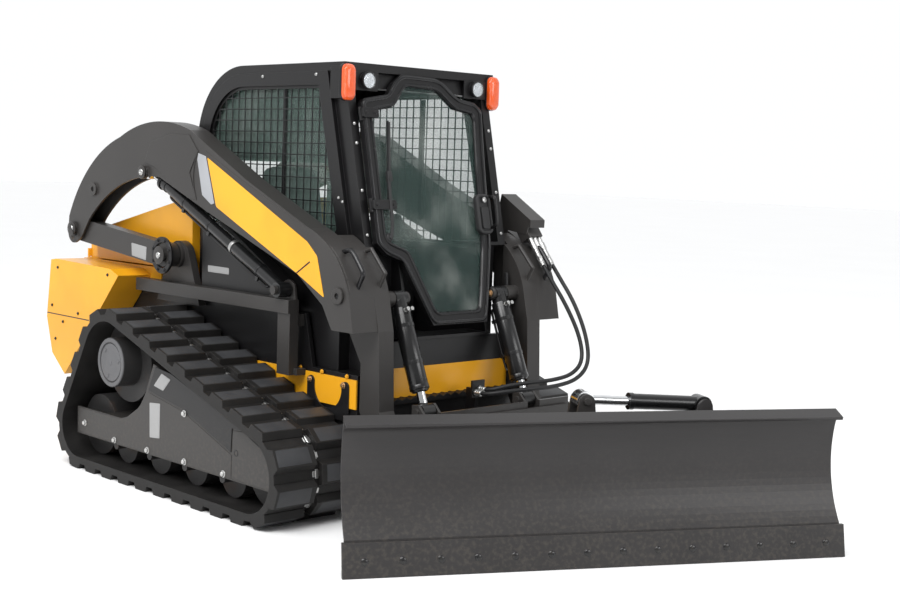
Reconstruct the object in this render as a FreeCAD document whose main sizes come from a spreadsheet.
import FreeCAD, Part
import math
import os

import Sketcher
from FreeCAD import Placement, Rotation, Vector

# A compact track loader with a six-way dozer blade, in millimetres.
# +Z is up, the machine faces -Y, and its right-hand side is -X.
# The origin is on the ground, midway between the tracks.

doc = FreeCAD.newDocument("CompactTrackLoader")
sheet = doc.addObject("Spreadsheet::Sheet", "Sizes")

SIZES = {
    # small gaps
    "seat_gap": 0.3,
    "moving_gap": 6.0,
    "pin_gap": 0.5,
    # rubber tracks
    "track_width": 450.0,
    "track_centres": 1480.0,
    "belt_thickness": 32.0,
    "lug_height": 28.0,
    "lug_count": 28,
    "lug_base": 112.0,
    "lug_crown": 84.0,
    "lug_split": 26.0,
    "front_idler_y": -649.0,
    "front_idler_radius": 165.0,
    "rear_idler_y": 785.0,
    "rear_idler_radius": 152.0,
    "sprocket_y": 525.0,
    "sprocket_z": 565.0,
    "sprocket_radius": 202.0,
    "drum_radius": 121.0,
    "drum_face": 930.0,
    "wheel_width": 180.0,
    "idler_axle_radius": 30.0,
    "roller_radius": 95.0,
    "roller_width": 200.0,
    "roller_spacing": 300.0,
    "roller_first_y": -385.0,
    "roller_axle_radius": 20.0,
    # track frames
    "frame_outer": 915.0,
    "frame_inner": 565.0,
    "frame_plate": 12.0,
    "frame_foot": 165.0,
    "frame_deck": 300.0,
    "frame_front": -765.0,
    "frame_rear": 870.0,
    "frame_nose_height": 317.0,
    "frame_peak_y": 170.0,
    "frame_peak_z": 600.0,
    "frame_knee_y": -560.0,
    "frame_knee_z": 405.0,
    "frame_scoop": 190.0,
    "axle_tube_radius": 55.0,
    "axle_tube_z": 335.0,
    "axle_tube_front_y": -250.0,
    "axle_tube_rear_y": 150.0,
    # chassis
    "hull_half": 500.0,
    "hull_wall": 20.0,
    "hull_front": -820.0,
    "hull_rear": 1440.0,
    "hull_floor": 230.0,
    "hull_top": 640.0,
    "hull_side_top": 880.0,
    "stripe_bottom": 490.0,
    "stripe_top": 620.0,
    "stripe_thickness": 8.0,
    "stripe_rear": 395.0,
    "rail_top": 664.0,
    "rail_bottom": 530.0,
    "rail_depth": 34.0,
    "rail_half": 400.0,
    "step_depth": 40.0,
    "step_thickness": 22.0,
    "step_teeth": 16,
    "step_tooth": 12.0,
    "apron_top": 784.0,
    "apron_thickness": 30.0,
    # side beams that carry the lift cylinders
    "beam_inner": 540.0,
    "beam_width": 60.0,
    "beam_height": 62.0,
    "beam_z": 912.0,
    "beam_front": -440.0,
    "beam_rear": 848.0,
    "post_rear": -350.0,
    "post_foot": 600.0,
    # rear towers and the link pivots
    "tower_thickness": 40.0,
    "tower_front": 420.0,
    "tower_rear": 700.0,
    "link_pivot_y": 550.0,
    "link_pivot_z": 1079.0,
    "arm_pivot_y": 1400.0,
    "arm_pivot_z": 1165.0,
    "link_depth": 118.0,
    "link_width": 66.0,
    "link_inner": 565.0,
    "pivot_pin_radius": 32.0,
    "pivot_boss_radius": 62.0,
    # loader arms
    "arm_outer": 650.0,
    "arm_inner": 545.0,
    "arm_plate": 12.0,
    "leg_inner": 423.0,
    "leg_shoulder": 448.0,
    "leg_outer": 508.0,
    "arch_tail_y": 1452.0,
    "arch_tail_z": 1232.0,
    "arch_shoulder_y": 937.0,
    "arch_shoulder_z": 1659.0,
    "arch_crown_y": 297.0,
    "arch_crown_z": 1699.0,
    "arch_rear_radius": 820.0,
    "arch_crown_radius": 900.0,
    "arm_mid_y": -170.0,
    "arm_mid_z": 1474.0,
    "arm_elbow_y": -640.0,
    "arm_elbow_z": 1280.0,
    "arm_brow_y": -925.0,
    "arm_brow_z": 1000.0,
    "elbow_radius": 420.0,
    "leg_front_y": -977.0,
    "leg_front_z": 502.0,
    "leg_rear_y": -845.0,
    "leg_rear_z": 640.0,
    "leg_eye_radius": 68.0,
    "bulkhead_y": -1000.0,
    "guard_x": 538.7,
    "coupler_pitch": 30.0,
    "hose_diameter": 19.0,
    "arm_under_y": -567.0,
    "arm_under_z": 1073.0,
    "arch_under_y": 170.0,
    "arch_under_z": 1325.0,
    "arch_inside_y": 560.0,
    "arch_inside_z": 1465.0,
    "arch_heel_y": 1240.0,
    "arch_heel_z": 1225.0,
    "ring_radius": 34.0,
    "ring_hole": 14.0,
    "grab_radius": 9.0,
    "cross_tube_y": -930.0,
    "cross_tube_z": 400.0,
    "cross_tube_radius": 38.0,
    # lift cylinders
    "lift_base_y": -386.0,
    "lift_base_z": 986.0,
    "lift_eye_y": 696.0,
    "lift_eye_z": 1486.0,
    "lift_centre": 597.5,
    "lift_barrel_radius": 31.0,
    "lift_rod_radius": 22.0,
    "lift_eye_radius": 34.0,
    "lift_pin_radius": 20.0,
    # bucket-tilt cylinders on the front of the arms
    "tilt_top_y": -861.0,
    "tilt_top_z": 979.0,
    "tilt_foot_y": -1062.0,
    "tilt_foot_z": 500.0,
    "tilt_centre": 316.0,
    "tilt_barrel_radius": 36.0,
    "tilt_rod_radius": 20.0,
    "tilt_eye_radius": 34.0,
    "tilt_pin_radius": 18.0,
    # quick coupler
    "coupler_y": -1040.0,
    "coupler_z": 255.0,
    "coupler_half": 555.0,
    "coupler_face": -1120.0,
    "coupler_plate": 12.0,
    "coupler_top": 500.0,
    "coupler_bottom": 150.0,
    "coupler_pin_radius": 22.0,
    # blade frame
    "king_pin_y": -1662.0,
    "king_pin_radius": 40.0,
    "frame_plate_thickness": 14.0,
    "push_beam_width": 230.0,
    "push_beam_top": 430.0,
    "push_beam_bottom": 250.0,
    "blade_turn": 28.4,
    "angle_base_x": 330.0,
    "angle_base_y": -1205.0,
    "angle_eye_x": 250.0,
    "angle_eye_back": 150.0,
    "angle_z": 306.0,
    "angle_barrel_radius": 32.0,
    "angle_rod_radius": 18.0,
    "angle_eye_radius": 30.0,
    "angle_pin_radius": 15.0,
    # dozer blade
    "blade_width": 2110.0,
    "blade_height": 608.0,
    "blade_reach": 392.0,
    "blade_setback": 106.0,
    "blade_hollow": 58.0,
    "blade_thickness": 12.0,
    "blade_lip": 34.0,
    "edge_width": 2134.0,
    "edge_height": 128.0,
    "edge_thickness": 16.0,
    "edge_clearance": 4.0,
    "blade_pin_z": 330.0,
    "blade_pin_radius": 35.0,
    "side_cylinder_z": 626.0,
    "side_clevis_x": -8.0,
    "side_foot_x": 524.0,
    "side_foot_z": 600.0,
    "side_back": 76.0,
    "side_barrel_radius": 33.0,
    "side_eye_radius": 38.0,
    "side_rod_radius": 20.0,
    "side_pin_radius": 15.0,
    # cab
    "cab_half": 464.0,
    "cab_wall": 30.0,
    "cab_floor": 700.0,
    "cab_roof_under": 1975.0,
    "roof_thickness": 38.0,
    "shoulder_drop": 325.0,
    "cab_rear": 474.0,
    "cab_side_front_top": -511.0,
    "cab_side_front_low": -685.0,
    "cab_side_knee_z": 1238.0,
    "cab_side_foot_front": -640.0,
    "cab_roof_rear": 134.0,
    "cab_corner_radius": 340.0,
    "roof_front": -630.0,
    "window_border": 62.0,
    "window_sill": 1180.0,
    "glass_thickness": 6.0,
    "screen_pitch": 52.0,
    "screen_wire": 5.0,
    "door_foot_y": -863.0,
    "door_foot_z": 844.0,
    "door_lean": 12.53,
    "door_thickness": 30.0,
    "door_gap": 8.0,
    "door_hinge_x": -405.0,
    "pillar_depth": 105.0,
    "pillar_inner": 396.0,
    "pillar_outer": 442.0,
    # rear body
    "cowl_outer": 700.0,
    "cowl_top": 996.0,
    "cowl_rear": 1600.0,
    "cowl_front": 857.0,
    "bumper_bottom": 377.0,
    "hood_front": 500.0,
    "hood_front_z": 1376.0,
    "hood_rear": 1440.0,
    "hood_rear_z": 1163.0,
    "hood_half": 493.0,
    "hood_wall": 16.0,
    "hood_hinge_x": 360.0,
    "hinge_leaf": 14.0,
    "hinge_radius": 8.0,
    "hinge_pin_radius": 4.0,
    "hinge_play": 0.06,
    "gate_knuckle": 45.0,
    "gate_half": 430.0,
    "gate_top": 1120.0,
    "gate_bottom": 480.0,
    "engine_length": 620.0,
    "engine_width": 560.0,
    "engine_height": 560.0,
}

for row, (name, value) in enumerate(SIZES.items(), start=1):
    sheet.set(f"A{row}", name)
    sheet.set(f"B{row}", str(value))
    sheet.setAlias(f"B{row}", name)
doc.recompute()


class Size:
    """A number with the spreadsheet expression that it comes from."""

    def __init__(self, value, text):
        self.value = float(value)
        self.text = text

    def __add__(self, other):
        return combine(self, "+", other)

    def __radd__(self, other):
        return combine(other, "+", self)

    def __sub__(self, other):
        return combine(self, "-", other)

    def __rsub__(self, other):
        return combine(other, "-", self)

    def __mul__(self, other):
        return combine(self, "*", other)

    def __rmul__(self, other):
        return combine(other, "*", self)

    def __truediv__(self, other):
        return combine(self, "/", other)

    def __neg__(self):
        return Size(-self.value, f"(0 - {self.text})")


def as_size(thing):
    if isinstance(thing, Size):
        return thing
    return Size(thing, repr(float(thing)) if thing >= 0 else f"(0 - {-float(thing)})")


def combine(left, sign, right):
    left, right = as_size(left), as_size(right)
    values = {
        "+": lambda: left.value + right.value,
        "-": lambda: left.value - right.value,
        "*": lambda: left.value * right.value,
        "/": lambda: left.value / right.value,
    }
    return Size(values[sign](), f"({left.text} {sign} {right.text})")


def root(thing):
    return Size(math.sqrt(thing.value), f"sqrt({thing.text})")


class Book:
    """The spreadsheet's sizes by name: S.track_width and so on."""

    def __getattr__(self, name):
        return Size(SIZES[name], f"Sizes.{name}")


S = Book()
nodes = []


def bind(thing, prop, size):
    thing.setExpression(prop, as_size(size).text)


def node(label, thing):
    """Keeps a finished sub-part under its own name."""
    thing.Label = label
    nodes.append(thing)
    return thing


# ---------------------------------------------------------------- primitives

TURN = {
    "x": Rotation(Vector(0, 1, 0), 90),
    "y": Rotation(Vector(1, 0, 0), -90),
    "z": Rotation(),
}


def place(thing, x, y, z):
    for axis, size in zip("xyz", (x, y, z)):
        bind(thing, f"Placement.Base.{axis}", size)


def box(name, low, high):
    """A box between its lowest and highest corners."""
    thing = doc.addObject("Part::Box", name)
    low = [as_size(c) for c in low]
    for prop, start, end in zip(("Length", "Width", "Height"), low, high):
        bind(thing, prop, end - start)
    place(thing, *low)
    return thing


def cylinder(name, axis, start, radius, length):
    """A cylinder from start along +x, +y or +z."""
    thing = doc.addObject("Part::Cylinder", name)
    thing.Placement = Placement(Vector(), TURN[axis])
    bind(thing, "Radius", radius)
    bind(thing, "Height", length)
    place(thing, *start)
    return thing


def strut(name, start, end, radius):
    """A cylinder from one point to another."""
    start = [as_size(c) for c in start]
    end = [as_size(c) for c in end]
    thing = doc.addObject("Part::Cylinder", name)
    run = Vector(*[b.value - a.value for a, b in zip(start, end)])
    thing.Placement = Placement(Vector(), Rotation(Vector(0, 0, 1), run))
    bind(thing, "Radius", radius)
    squares = [(b - a) * (b - a) for a, b in zip(start, end)]
    bind(thing, "Height", root(squares[0] + squares[1] + squares[2]))
    place(thing, *start)
    return thing


def ball(name, centre, radius):
    thing = doc.addObject("Part::Sphere", name)
    bind(thing, "Radius", radius)
    place(thing, *centre)
    return thing


def bent_rod(name, points, radius):
    """A round bar through its points, with a ball at each bend."""
    parts = []
    for index, (start, end) in enumerate(zip(points, points[1:])):
        parts.append(strut(f"{name}_run_{index}", start, end, radius))
    for index, bend in enumerate(points[1:-1]):
        parts.append(ball(f"{name}_bend_{index}", bend, as_size(radius) + 0.3))
    return parts


def along(start, end, share):
    """A point at a share of the way from start to end."""
    return [a + (as_size(b) - a) * share for a, b in zip(start, end)]


def fuse(name, parts):
    thing = doc.addObject("Part::MultiFuse", name)
    thing.Shapes = parts
    return thing


def cut(name, base, tool):
    thing = doc.addObject("Part::Cut", name)
    thing.Base = base
    thing.Tool = tool
    return thing


def mirrored(name, thing):
    """The same piece on the other side of the machine."""
    other = doc.addObject("Part::Mirroring", name)
    other.Source = thing
    other.Base = Vector(0, 0, 0)
    other.Normal = Vector(1, 0, 0)
    return other


def pair(label, thing):
    """A piece and its mirror image, two solids that do not touch."""
    both = doc.addObject("Part::Compound", label)
    both.Links = [thing, mirrored(f"{label}_other", thing)]
    return node(label, both)


def group(label, things):
    """Like pieces that share one node, as solids that do not touch."""
    many = doc.addObject("Part::Compound", label)
    many.Links = things
    return node(label, many)


# ---------------------------------------------------- plates from an outline

PLANES = {"yz": ("YZ_Plane", 1), "xz": ("XZ_Plane", -1), "xy": ("XY_Plane", 1)}


def draw(sketch, outline):
    """A closed outline of points (across, up) or (across, up, radius).

    A radius bends the edge that leaves its point: it bulges out of an outline
    drawn anticlockwise, and a negative radius hollows it.
    """
    points = [(as_size(p[0]), as_size(p[1])) for p in outline]
    ends = []
    for index, corner in enumerate(outline):
        start, end = points[index], points[(index + 1) % len(points)]
        a = Vector(start[0].value, start[1].value, 0)
        b = Vector(end[0].value, end[1].value, 0)
        if len(corner) == 2:
            edge = sketch.addGeometry(Part.LineSegment(a, b), False)
            ends.append((edge, 1, 2))
            continue
        radius = as_size(corner[2])
        bulge = 1 if radius.value > 0 else -1
        chord = b - a
        left = Vector(-chord.y, chord.x, 0).normalize()
        rise = math.sqrt(radius.value**2 - (chord.Length / 2) ** 2)
        centre = (a + b) * 0.5 + left * rise * bulge
        first, last = (a, b) if bulge > 0 else (b, a)
        turn = [math.atan2(p.y - centre.y, p.x - centre.x) for p in (first, last)]
        circle = Part.Circle(centre, Vector(0, 0, 1), abs(radius.value))
        edge = sketch.addGeometry(Part.ArcOfCircle(circle, *turn), False)
        ends.append((edge, 1, 2) if bulge > 0 else (edge, 2, 1))
        rule = sketch.addConstraint(Sketcher.Constraint("Radius", edge, abs(radius.value)))
        bind(sketch, f"Constraints[{rule}]", radius if bulge > 0 else -radius)
    for index, (edge, start, end) in enumerate(ends):
        after, after_start, _ = ends[(index + 1) % len(ends)]
        sketch.addConstraint(Sketcher.Constraint("Coincident", edge, end, after, after_start))
        for kind, size in zip(("DistanceX", "DistanceY"), points[index]):
            rule = sketch.addConstraint(
                Sketcher.Constraint(kind, -1, 1, edge, start, size.value)
            )
            bind(sketch, f"Constraints[{rule}]", size)


def draw_hole(sketch, across, up, radius):
    """A round hole in the outline."""
    sizes = [as_size(across), as_size(up), as_size(radius)]
    centre = Vector(sizes[0].value, sizes[1].value, 0)
    ring = sketch.addGeometry(Part.Circle(centre, Vector(0, 0, 1), sizes[2].value), False)
    rules = (
        Sketcher.Constraint("DistanceX", -1, 1, ring, 3, sizes[0].value),
        Sketcher.Constraint("DistanceY", -1, 1, ring, 3, sizes[1].value),
        Sketcher.Constraint("Radius", ring, sizes[2].value),
    )
    for rule, size in zip(rules, sizes):
        bind(sketch, f"Constraints[{sketch.addConstraint(rule)}]", size)


def plate(name, plane, start, thickness, outline, windows=(), holes=()):
    """An outline on a plane, padded from start by its thickness.

    The plane is yz (padded along +x), xz (along +y) or xy (along +z).
    """
    body = doc.addObject("PartDesign::Body", name)
    role, side = PLANES[plane]
    origin_plane = [f for f in body.Origin.OriginFeatures if f.Role == role][0]
    sketch = body.newObject("Sketcher::SketchObject", f"{name}_outline")
    sketch.AttachmentSupport = (origin_plane, [""])
    sketch.MapMode = "FlatFace"
    level = as_size(start) if side > 0 else -(as_size(start) + thickness)
    bind(sketch, ".AttachmentOffset.Base.z", level)
    draw(sketch, outline)
    for window in windows:
        draw(sketch, window)
    for hole in holes:
        draw_hole(sketch, *hole)
    pad = body.newObject("PartDesign::Pad", f"{name}_pad")
    pad.Profile = sketch
    bind(pad, "Length", thickness)
    body.Tip = pad
    return body


def rounded(low, high, radius):
    """A rectangle with four round corners, drawn anticlockwise."""
    (a, b), (c, d) = low, high
    return [
        (a + radius, b), (c - radius, b, radius),
        (c, b + radius), (c, d - radius, radius),
        (c - radius, d), (a + radius, d, radius),
        (a, d - radius), (a, b + radius, radius),
    ]


# ------------------------------------------------------------- rubber tracks

TRACK_INNER = S.track_centres / 2 - S.track_width / 2
TRACK_OUTER = S.track_centres / 2 + S.track_width / 2
BELT_UNDER = S.lug_height + S.belt_thickness
FRONT_IDLER_Z = S.front_idler_radius + BELT_UNDER
REAR_IDLER_Z = S.rear_idler_radius + BELT_UNDER
ROLLER_Z = S.roller_radius + BELT_UNDER


def belt_run(offset):
    """Straight and round stretches of the belt at an offset from its wheels.

    The wheels are taken anticlockwise as seen from +X: front, rear, drive.
    Each stretch is (kind, start, end, centre, length).
    """
    wheels = [
        (S.front_idler_y, FRONT_IDLER_Z, S.front_idler_radius),
        (S.rear_idler_y, REAR_IDLER_Z, S.rear_idler_radius),
        (S.sprocket_y, S.sprocket_z, S.sprocket_radius),
    ]
    wheels = [(Vector(0, y.value, z.value), r.value + offset) for y, z, r in wheels]
    normals = []
    for index in range(3):
        (c1, r1), (c2, r2) = wheels[index], wheels[(index + 1) % 3]
        run = (c2 - c1) / (c2 - c1).Length
        right = Vector(0, run.z, -run.y)
        lean = (r1 - r2) / (c2 - c1).Length
        normals.append(run * lean + right * math.sqrt(1 - lean**2))
    stretches = []
    for index in range(3):
        centre, radius = wheels[index]
        before, after = normals[index - 1], normals[index]
        turn = before.getAngle(after)
        stretches.append(
            ("arc", centre + before * radius, centre + after * radius, centre, turn * radius)
        )
        c2, r2 = wheels[(index + 1) % 3]
        start, end = centre + after * radius, c2 + after * r2
        stretches.append(("line", start, end, None, (end - start).Length))
    return stretches


def belt_wire(offset, x):
    shift = Vector(x, 0, 0)
    edges = []
    for kind, start, end, centre, length in belt_run(offset):
        if kind == "line":
            edges.append(Part.LineSegment(start + shift, end + shift).toShape())
            continue
        spoke = (start - centre) + (end - centre)
        radius = (start - centre).Length
        middle = centre + spoke * (radius / spoke.Length)
        edges.append(Part.Arc(start + shift, middle + shift, end + shift).toShape())
    return Part.Wire(edges)


def belt_frames(offset, count, phase):
    """Evenly spaced places round the belt: (point, along, outward)."""
    run = belt_run(offset)
    whole = sum(stretch[4] for stretch in run)
    frames = []
    for index in range(count):
        left = ((index + phase) / count * whole) % whole
        for kind, start, end, centre, length in run:
            if left <= length:
                break
            left -= length
        if kind == "line":
            forward = (end - start) / length
            outward = Vector(0, forward.z, -forward.y)
            frames.append((start + forward * left, forward, outward))
            continue
        radius = (start - centre).Length
        outward = Rotation(Vector(1, 0, 0), math.degrees(left / radius)).multVec(
            (start - centre) / radius
        )
        frames.append((centre + outward * radius, Vector(0, -outward.z, outward.y), outward))
    return frames


def lug(frame, x_from, x_to, sink):
    """One rubber lug: a block with a sloping front and back."""
    point, forward, outward = frame
    base, crown = S.lug_base.value / 2, S.lug_crown.value / 2
    profile = [(-base, -sink), (base, -sink), (crown, S.lug_height.value)]
    profile.append((-crown, S.lug_height.value))
    corners = [point + forward * a + outward * b + Vector(x_from, 0, 0) for a, b in profile]
    face = Part.Face(Part.makePolygon(corners + corners[:1]))
    return face.extrude(Vector(x_to - x_from, 0, 0))


def track(label, side):
    inner, outer = TRACK_INNER.value, TRACK_OUTER.value
    skin = S.belt_thickness.value
    loop = Part.Face(belt_wire(skin, inner)).cut(Part.Face(belt_wire(0, inner)))
    belt = loop.extrude(Vector(outer - inner, 0, 0))
    middle, split = S.track_centres.value / 2, S.lug_split.value / 2
    count = int(S.lug_count.value)
    lugs = [lug(f, inner, middle - split, 6) for f in belt_frames(skin, count, 0.5)]
    lugs += [lug(f, middle + split, outer, 6) for f in belt_frames(skin, count, 0.0)]
    shape = belt.multiFuse(lugs).removeSplitter()
    if side < 0:
        shape = shape.mirror(Vector(), Vector(1, 0, 0))
    thing = doc.addObject("Part::Feature", label)
    thing.Shape = shape
    return node(label, thing)


track("track_left", 1)
track("track_right", -1)

WHEEL_START = S.track_centres / 2 - S.wheel_width / 2


def idler(name, y, z, radius):
    wheel = cylinder(f"{name}_wheel", "x", (WHEEL_START, y, z), radius - S.seat_gap, S.wheel_width)
    reach = S.frame_outer - S.frame_inner - 2 * S.frame_plate
    start = (S.frame_inner + S.frame_plate, y, z)
    axle = cylinder(f"{name}_axle", "x", start, S.idler_axle_radius, reach)
    return fuse(name, [wheel, axle])


idlers = [
    idler("front_idler", S.front_idler_y, FRONT_IDLER_Z, S.front_idler_radius),
    idler("rear_idler", S.rear_idler_y, REAR_IDLER_Z, S.rear_idler_radius),
]
group("track_idlers", idlers + [mirrored(f"{w.Name}_other", w) for w in idlers])

rollers = []
for index in range(4):
    roller_y = S.roller_first_y + S.roller_spacing * index
    start = (S.track_centres / 2 - S.roller_width / 2, roller_y, ROLLER_Z)
    tread = cylinder(f"roller_tread_{index}", "x", start, S.roller_radius - S.seat_gap, S.roller_width)
    start = (S.frame_inner + S.frame_plate, roller_y, ROLLER_Z)
    reach = S.frame_outer - S.frame_inner - 2 * S.frame_plate
    axle = cylinder(f"roller_axle_{index}", "x", start, S.roller_axle_radius, reach)
    rollers.append(fuse(f"roller_{index}", [tread, axle]))
group("track_rollers", rollers + [mirrored(f"{w.Name}_other", w) for w in rollers])

hub = (S.hull_half, S.sprocket_y, S.sprocket_z)
motor = cylinder("drive_motor", "x", hub, S.drum_radius - 10, WHEEL_START - S.hull_half)
teeth = cylinder(
    "drive_wheel", "x", (WHEEL_START, S.sprocket_y, S.sprocket_z),
    S.sprocket_radius - S.seat_gap, S.wheel_width,
)
drum_start = WHEEL_START + S.wheel_width
drum = cylinder(
    "drive_drum", "x", (drum_start, S.sprocket_y, S.sprocket_z),
    S.drum_radius, S.drum_face - drum_start,
)
pair("drive_sprockets", fuse("drive_sprocket", [motor, teeth, drum]))

# -------------------------------------------------------------- track frames

frame_outline = [
    (S.frame_front, S.frame_foot), (S.frame_rear, S.frame_foot),
    (S.frame_rear, S.frame_deck), (S.frame_peak_y + 230, S.frame_deck, -S.frame_scoop * 2),
    (S.frame_peak_y + 40, S.frame_peak_z - 90), (S.frame_peak_y, S.frame_peak_z),
    (S.frame_knee_y, S.frame_knee_z), (S.frame_front + 15, S.frame_nose_height),
]
frame_core = [
    (S.frame_knee_y + 90, S.frame_deck - 38), (S.frame_rear - 260, S.frame_deck - 38),
    (S.frame_rear - 260, S.frame_deck), (S.frame_peak_y + 230, S.frame_deck, -S.frame_scoop * 2),
    (S.frame_peak_y + 40, S.frame_peak_z - 90), (S.frame_peak_y, S.frame_peak_z),
    (S.frame_knee_y + 90, S.frame_knee_z + 25),
]
outer_start = S.frame_outer - S.frame_plate
core_start = S.frame_inner + S.frame_plate
frame_parts = [
    plate("frame_outer_plate", "yz", outer_start, S.frame_plate, frame_outline),
    plate("frame_inner_plate", "yz", S.frame_inner, S.frame_plate, frame_outline),
    plate("frame_box", "yz", core_start, outer_start - core_start, frame_core),
]
for name, tube_y in (("front", S.axle_tube_front_y), ("rear", S.axle_tube_rear_y)):
    start = (S.hull_half, tube_y, S.axle_tube_z)
    reach = S.frame_inner - S.hull_half
    frame_parts.append(cylinder(f"axle_tube_{name}", "x", start, S.axle_tube_radius, reach))
pair("track_frames", fuse("track_frame", frame_parts))

# ------------------------------------------------------------------- chassis

wall = S.hull_wall
half = S.hull_half
hull = [
    box("hull_belly", (-half, S.hull_front, S.hull_floor), (half, S.hull_rear, S.hull_floor + wall)),
    box("hull_nose", (-half, S.hull_front, S.hull_floor), (half, S.hull_front + wall, S.hull_top)),
    box("hull_tail", (-half, S.hull_rear - wall, S.hull_floor), (half, S.hull_rear, S.hull_top)),
    box("hull_deck", (-half, S.hull_front, S.hull_top - wall), (half, S.cab_rear, S.hull_top)),
]
hull_side = [
    (S.hull_front, S.hull_floor), (S.hull_rear, S.hull_floor), (S.hull_rear, S.hull_side_top),
    (S.beam_front, S.hull_side_top), (S.beam_front - 60, S.hull_top), (S.hull_front, S.hull_top),
]
for name, start in (("left", half - wall), ("right", -half)):
    hull.append(plate(f"hull_side_{name}", "yz", start, wall, hull_side))
node("chassis_hull", fuse("chassis_hull", hull))

engine_low = (-S.engine_width / 2, S.cab_rear + 130, S.hull_floor + wall)
engine_high = (
    S.engine_width / 2, S.cab_rear + 130 + S.engine_length,
    S.hull_floor + wall + S.engine_height,
)
node("engine_block", box("engine_block", engine_low, engine_high))

stripe = [
    (S.hull_front, S.stripe_bottom), (S.stripe_rear, S.stripe_bottom),
    (S.stripe_rear, S.stripe_top), (S.hull_front, S.stripe_top),
]
pair("side_stripes", plate("side_stripe", "yz", half, S.stripe_thickness, stripe))

cover_outline = [
    (-330, S.hull_side_top + 0.3), (290, S.hull_side_top + 0.3), (345, 945), (345, 1262),
    (160, 1262), (-330, 1000),
]
pair("side_covers", plate("side_cover", "yz", S.cab_half + 6, 66, cover_outline))

# a hook plate hangs on each stripe, with its two upper corners rounded
hook_outline = [
    (-775, 430), (-480, 430), (-480, 585, 25.5), (-530, 585), (-530, 560, -98), (-725, 560),
    (-725, 585, 25.5), (-775, 585),
]
hook_start = half + S.stripe_thickness + S.seat_gap
pair("hook_plates", plate("hook_plate", "yz", hook_start, 5, hook_outline))

rail_back = S.hull_front
rail_low = (-S.rail_half, rail_back - S.rail_depth, S.rail_bottom)
node("front_rail", box("front_rail", rail_low, (S.rail_half, rail_back, S.rail_top)))

apron_low = (-S.rail_half, rail_back - S.rail_depth, S.rail_top)
apron_high = (S.rail_half, rail_back - S.rail_depth + S.apron_thickness, S.apron_top)
node("front_apron", box("front_apron", apron_low, apron_high))

step_front = rail_back - S.rail_depth - S.step_depth
step_top = S.rail_bottom
tooth_pitch = 2 * S.rail_half / S.step_teeth
step_outline = [(-S.rail_half, step_top - S.step_thickness), (S.rail_half, step_top - S.step_thickness)]
for index in range(SIZES["step_teeth"], 0, -1):
    right_edge = -S.rail_half + tooth_pitch * index
    step_outline += [
        (right_edge, step_top - S.step_tooth / 2),
        (right_edge - tooth_pitch / 2, step_top + S.step_tooth / 2 - S.seat_gap),
    ]
step_outline.append((-S.rail_half, step_top - S.step_tooth / 2))
node("front_step", plate("front_step", "xz", step_front, S.step_depth, step_outline))

# ------------------------------------------- side beams, posts, rear towers

beam_low_z = S.beam_z - S.beam_height / 2
beam_high_z = S.beam_z + S.beam_height / 2
beam = box(
    "side_beam_bar", (S.beam_inner, S.beam_front, beam_low_z),
    (S.beam_inner + S.beam_width, S.beam_rear, beam_high_z),
)
post = box(
    "side_beam_post", (S.beam_inner, S.beam_front, S.post_foot),
    (S.beam_inner + S.beam_width - 10, S.post_rear, beam_low_z),
)
foot = box(
    "side_beam_foot", (half + S.stripe_thickness, S.beam_front - 20, S.post_foot),
    (S.beam_inner + 20, S.post_rear + 20, S.post_foot + 30),
)
tie = box(
    "side_beam_tie", (half, S.beam_front + 10, S.hull_side_top - 60),
    (S.beam_inner, S.post_rear, S.hull_side_top - 5),
)
bracket_outline = [
    (S.lift_base_y - 54, beam_high_z), (S.lift_base_y + 150, beam_high_z),
    (S.lift_base_y + 40, S.lift_base_z + 28, S.lift_eye_radius + 20),
    (S.lift_base_y - 44, S.lift_base_z + 20),
]
bracket_thickness = S.arm_plate
bracket_inner = S.lift_centre - S.lift_eye_radius - 4 - bracket_thickness
bracket = plate(
    "lift_bracket", "yz", bracket_inner, bracket_thickness, bracket_outline,
)
lift_pin = cylinder(
    "lift_base_pin", "x", (bracket_inner, S.lift_base_y, S.lift_base_z),
    S.lift_pin_radius, S.arm_outer - bracket_inner,
)
pair("side_beams", fuse("side_beam", [beam, post, foot, tie, bracket, lift_pin]))

tower_outline = [
    (S.tower_front - 60, S.hull_side_top - 40), (S.tower_rear + 40, S.hull_side_top - 40),
    (S.link_pivot_y + S.pivot_boss_radius + 20, S.link_pivot_z + 30, S.pivot_boss_radius + 40),
    (S.link_pivot_y - S.pivot_boss_radius - 20, S.link_pivot_z + 30),
]
tower = plate("tower_plate", "yz", half, S.tower_thickness, tower_outline)
boss_start = (half + S.tower_thickness, S.link_pivot_y, S.link_pivot_z)
boss_length = S.link_inner - S.moving_gap - half - S.tower_thickness
boss = cylinder("tower_boss", "x", boss_start, S.pivot_boss_radius, boss_length)
pin_start = (half, S.link_pivot_y, S.link_pivot_z)
pin = cylinder("tower_pin", "x", pin_start, S.pivot_pin_radius, S.arm_outer + 5 - half)
pair("rear_towers", fuse("rear_tower", [tower, boss, pin]))

# --------------------------------------------------------------------- links

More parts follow.
